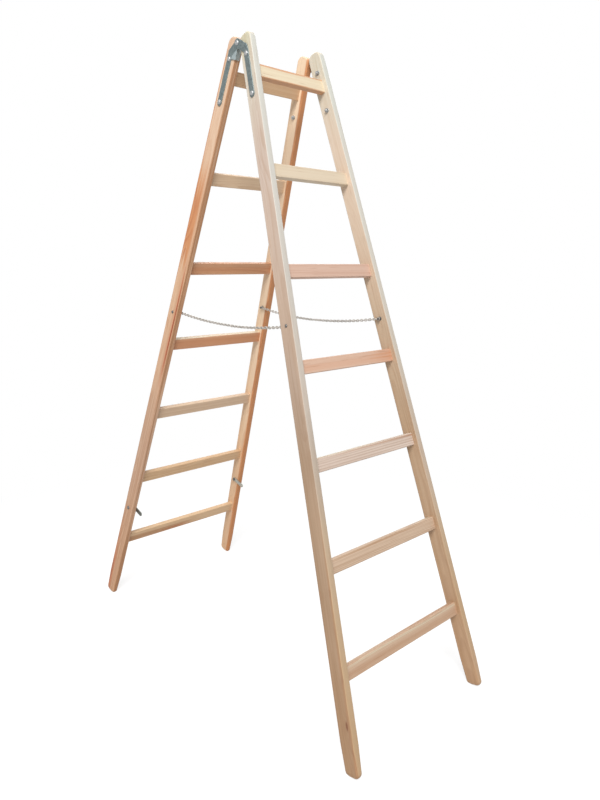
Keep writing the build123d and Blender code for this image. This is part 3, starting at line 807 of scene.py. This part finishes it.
# depths from the outer face of the stile inwards
thick = ladder["thick"]
clampNut = thick + fastener["washer"]
outerNut = clampNut + smallBolt["nut"][1] + 2 * fastener["play"] + fastener["wire"]
hingeReach = clampNut + bigBolt["nut"][1] + fastener["end"]
chainReach = outerNut + smallBolt["nut"][1] + fastener["end"]
lugReach = clampNut + lug["thick"] + bigBolt["nut"][1] + fastener["end"]
hingeBolt = domedBolt(bigBolt, hinge["plate"], hingeReach)
hingeNut, hingeWasher = hexagonNut(bigBolt, -clampNut), flatWasher(bigBolt)
chainBolt = domedBolt(smallBolt, 0.0, chainReach)
chainNuts, chainWasher = [hexagonNut(smallBolt, -at) for at in (clampNut, outerNut)], flatWasher(smallBolt)
lugBolt, lugNut = domedBolt(bigBolt, 0.0, lugReach), hexagonNut(bigBolt, -clampNut - lug["thick"])
groups = {
    "hinge_bolts": [hingeBolt], "hinge_nuts": [hingeNut], "hinge_washers": [hingeWasher],
    "chain_bolts": [chainBolt], "chain_nuts": chainNuts, "chain_washers": [chainWasher],
}
for end in ("front", "rear"):
    for kind, parts in groups.items():
        atChain = kind.startswith("chain")
        places = [fastener["chainBelow"]] if atChain else fastener["hingeBelow"]
        addPiece(f"{end}_{kind}_turned", bothSides(parts, places, end == "rear"),
                 shadedBoltZinc if atChain else boltZinc, end + "_frame", [f"{end}_{kind}"])
for kind, part in (("bolts", lugBolt), ("nuts", lugNut), ("washers", hingeWasher)):
    addPiece(f"guide_lug_{kind}_turned", bothSides([part], [fastener["lugBelow"]], True), shadedBoltZinc,
             "rear_frame", [f"guide_lug_{kind}"])
print("fasteners: 15 groups")


# flat strap with round ends: half its width at each station along it, a quarter circle at both ends,
# and at every station a rectangle with rounded corners
def guideLug():
    r, reach = lug["wide"] / 2, lug["reach"]
    first = np.linspace(lug["blunt"], np.pi / 2, lug["endSteps"])
    last = np.linspace(0, np.pi / 2 - lug["blunt"], lug["endSteps"])[1:]
    run = np.linspace(0, -reach + r, lug["runSteps"])[1:]
    x = np.concatenate([r * np.cos(first), run, -reach + r - r * np.sin(last)])
    half = np.concatenate([r * np.sin(first), np.full(len(run), r), r * np.cos(last)])
    inward, height = plateEdge(2 * half, lug["thick"], lug["edge"])
    side = half[:, None] - inward
    y = np.concatenate([side, -side[:, ::-1]], 1)
    h = np.concatenate([height, height[:, ::-1]], 1) - clampNut - lug["thick"]
    return outward(closedTube(np.stack([x[:, None] + 0 * y, y, h], -1)))


lugPart = placed(guideLug(), *stileSeat(fastener["lugBelow"]))
for side, over in (("left", False), ("right", True)):
    addPiece(f"{side}_guide_strap", mirrored(lugPart, over, True), lugZinc[side], "rear_frame",
             [f"{side}_guide_lug"])
print("lugs: 2")

chain = {
    "sag": 0.024, "links": 34, "wire": 0.0025, "inside": 0.0043, "slack": 0.0001, "boltSlack": 0.00015,
    "frontShift": 0.0035, "rearShift": 0.0085, "weld": 0.16, "weldLong": 0.16, "endShare": 6,
    "around": 40, "sides": 10, "samples": 2001, "twist": math.radians(45), "sharp": 60,
}


# one link in its own plane: a round wire carried along a slot-shaped ring, a circle drawn apart at
# its two ends, a little thicker at its weld; along the link, across it and off its plane
def chainLink(pitch):
    radius = chain["inside"] / 2 + chain["wire"] / 2
    straight = pitch / 2 + chain["slack"] / 2 - chain["inside"] / 2
    ring, turn = fullTurn(chain["around"]), fullTurn(chain["sides"])
    cx = radius * np.cos(ring) + straight * np.clip(np.cos(ring) * chain["endShare"], -1, 1)
    cy = radius * np.sin(ring)
    step = unit(np.stack([np.roll(cx, -1) - np.roll(cx, 1), np.roll(cy, -1) - np.roll(cy, 1)], -1))
    fat = chain["wire"] / 2 * (1 + chain["weld"] * np.exp(-((ring - np.pi / 2) / chain["weldLong"]) ** 2))
    lx = cx[:, None] + step[:, 1:] * fat[:, None] * np.cos(turn)
    ly = cy[:, None] - step[:, :1] * fat[:, None] * np.cos(turn)
    return lx, ly, fat[:, None] * np.sin(turn)


# one half of a chain: links set by length along a hanging parabola, every other link turned by a
# right angle and the run slowly twisting away from the bolt
def chainHalf(shift):
    origin, axes = stileSeat(fastener["chainBelow"])
    stand = fastener["washer"] + smallBolt["nut"][1] + fastener["play"] + fastener["wire"] / 2
    start = origin + axes @ np.array([0, 0, -thick - stand])
    low = start[2] - chain["sag"]
    bow = np.array([start, [start[0] + shift / 2, start[1] / 2, low], [start[0] + shift, 0, low]])
    t = np.linspace(0, 1, chain["samples"])[:, None]
    line = (1 - t) ** 2 * bow[0] + 2 * t * (1 - t) * bow[1] + t ** 2 * bow[2]
    run = (1 - t) * (bow[1] - bow[0]) + t * (bow[2] - bow[1])
    length = lengthGone(line)
    behind = smallBolt["wide"] / 2 + chain["boltSlack"]
    pitch = (length[-1] + behind) / chain["links"]
    number = np.arange(chain["links"])
    at = np.interp(pitch * (number + 0.5) - behind, length, t[:, 0])
    middle, along = readOff(at, t[:, 0], line), unit(readOff(at, t[:, 0], run))
    flat = unit(np.cross(along, [0, 0, 1]))
    upright = np.cross(flat, along)
    roll = chain["twist"] * at[:, None] + np.pi / 2 * (number % 2)[:, None]
    normal = flat * np.cos(roll) + upright * np.sin(roll)
    ways = (along, np.cross(normal, along), normal)
    points = middle[:, None, None, :] + sum(
        part[None, ..., None] * way[:, None, None, :] for part, way in zip(chainLink(pitch), ways))
    ring = ringFaces(chain["around"], chain["sides"], True)
    perLink = chain["around"] * chain["sides"]
    return outward(shell(points, (ring[None] + perLink * number[:, None, None]).reshape(-1, 4)))


for end, shift in (("front", chain["frontShift"]), ("rear", chain["rearShift"])):
    half = chainHalf(shift)
    for side, over in (("left", False), ("right", True)):
        addPiece(f"{side}_{end}_links", mirrored(half, over, end == "rear"), chainZinc,
                 f"{side}_{end}_chain", [f"{side}_chain_{end}_half"], chain["sharp"])
print("chains: 4 halves")

studio = {
    "floorSize": 14.0, "floor": 0.6, "floorRough": 0.9, "glow": 0.72, "share": 0.38, "world": 0.36,
    "white": 1.0, "fade": (0.9, 2.0), "aim": (0, 0, 1.0),
    "lamps": {"top_light": ((-3.7, -3.5, 6.2), 3.6, 535), "back_light": ((3.9, 3.6, 4.4), 4.0, 100)},
}
floorMesh = bpy.data.meshes.new("floor")
reach = studio["floorSize"]
floorMesh.from_pydata([(-reach, -reach, 0), (reach, -reach, 0), (reach, reach, 0), (-reach, reach, 0)], [],
                      [(0, 1, 2, 3)])
floor = bpy.data.objects.new("floor", floorMesh)
bpy.context.scene.collection.objects.link(floor)
ground = Finish(bpy.data.materials.new("floor_white"))
ground.feed(ground.shader, (studio["floor"],) * 3 + (1,), studio["floorRough"], 0.0, keys=surfaceKeys)
floorMesh.materials.append(ground.owner)


# 1 for what the camera sees, straight or in metal, and 0 for the light on the object
def whiteFor(finish):
    path = finish.node("ShaderNodeLightPath").outputs
    share = finish.math("MAXIMUM", path["Is Camera Ray"], path["Is Glossy Ray"])
    return finish.math("MAXIMUM", share, path["Is Transmission Ray"])


# plain white glow for the floor
def glowShader(strength):
    made = ground.node("ShaderNodeEmission")
    ground.feed(made, (1, 1, 1, 1), strength)
    return made.outputs[0]


# two shaders mixed by share
def mixShaders(share, first, second):
    made = ground.node("ShaderNodeMixShader")
    ground.feed(made, share, first, second)
    return made.outputs[0]


# seen from the camera the floor is part glow and part lit, so that it is white and still takes the
# shadow; far from the ladder it runs out into the white of the background
litFloor = ground.node("ShaderNodeBsdfDiffuse")
ground.feed(litFloor, (studio["share"],) * 3 + (1,))
near = ground.node("ShaderNodeAddShader")
ground.feed(near, glowShader(studio["glow"]), litFloor.outputs[0])
away = ground.vector("LENGTH", ground.node("ShaderNodeTexCoord").outputs["Object"])
seen = mixShaders(ground.step(away, *studio["fade"]), near.outputs[0], glowShader(studio["white"]))
surface = mixShaders(whiteFor(ground), ground.shader.outputs[0], seen)
ground.feed(ground.tree.nodes["Material Output"], surface)

sky = Finish(bpy.data.worlds.new("studio"))
bpy.context.scene.world = sky.owner
level = sky.node("ShaderNodeMapRange")
sky.feed(level, whiteFor(sky), 0.0, 1.0, studio["world"], studio["white"])
sky.feed(sky.tree.nodes["Background"], (1, 1, 1, 1), level.outputs[0])

# two round soft lamps that look at the middle of the ladder
for name, (place, size, power) in studio["lamps"].items():
    lamp = bpy.data.lights.new(name, "AREA")
    lamp.shape = "DISK"
    lamp.size = size
    lamp.energy = power
    box = bpy.data.objects.new(name, lamp)
    bpy.context.scene.collection.objects.link(box)
    box.location = place
    box.rotation_euler = (Vector(studio["aim"]) - Vector(place)).to_track_quat("-Z", "Y").to_euler()

# focal length, middle of the picture and its height are in pixels of a picture 800 high
camera = {
    "place": (-1.44566, -1.60896, 1.3447), "yaw": math.radians(41.8746), "pitch": math.radians(-12.3913),
    "roll": math.radians(0.5881), "focal": 652.698, "centre": (-26.6, 0.74), "tall": 800,
    "sensor": 36, "nearest": 0.05,
}
yawSin, yawCos = math.sin(camera["yaw"]), math.cos(camera["yaw"])
pitchSin, pitchCos = math.sin(camera["pitch"]), math.cos(camera["pitch"])
rollSin, rollCos = math.sin(camera["roll"]), math.cos(camera["roll"])
ahead = np.array([yawSin * pitchCos, yawCos * pitchCos, pitchSin])
level = np.array([yawCos, -yawSin, 0])
upright = np.cross(level, ahead)
right, upward = level * rollCos + upright * rollSin, upright * rollCos - level * rollSin
lens = bpy.data.cameras.new("photo_camera")
lens.sensor_width = camera["sensor"]
lens.lens = camera["focal"] / camera["tall"] * camera["sensor"]
lens.shift_x = -camera["centre"][0] / camera["tall"]
lens.shift_y = camera["centre"][1] / camera["tall"]
lens.clip_start = camera["nearest"]
eye = bpy.data.objects.new("photo_camera", lens)
bpy.context.scene.collection.objects.link(eye)
turnTo = Matrix(np.stack([right, upward, -ahead], axis=1).tolist()).to_4x4()
eye.matrix_world = Matrix.Translation(camera["place"]) @ turnTo
bpy.context.scene.camera = eye
bpy.context.scene.view_settings.view_transform = "Standard"
print("camera set")
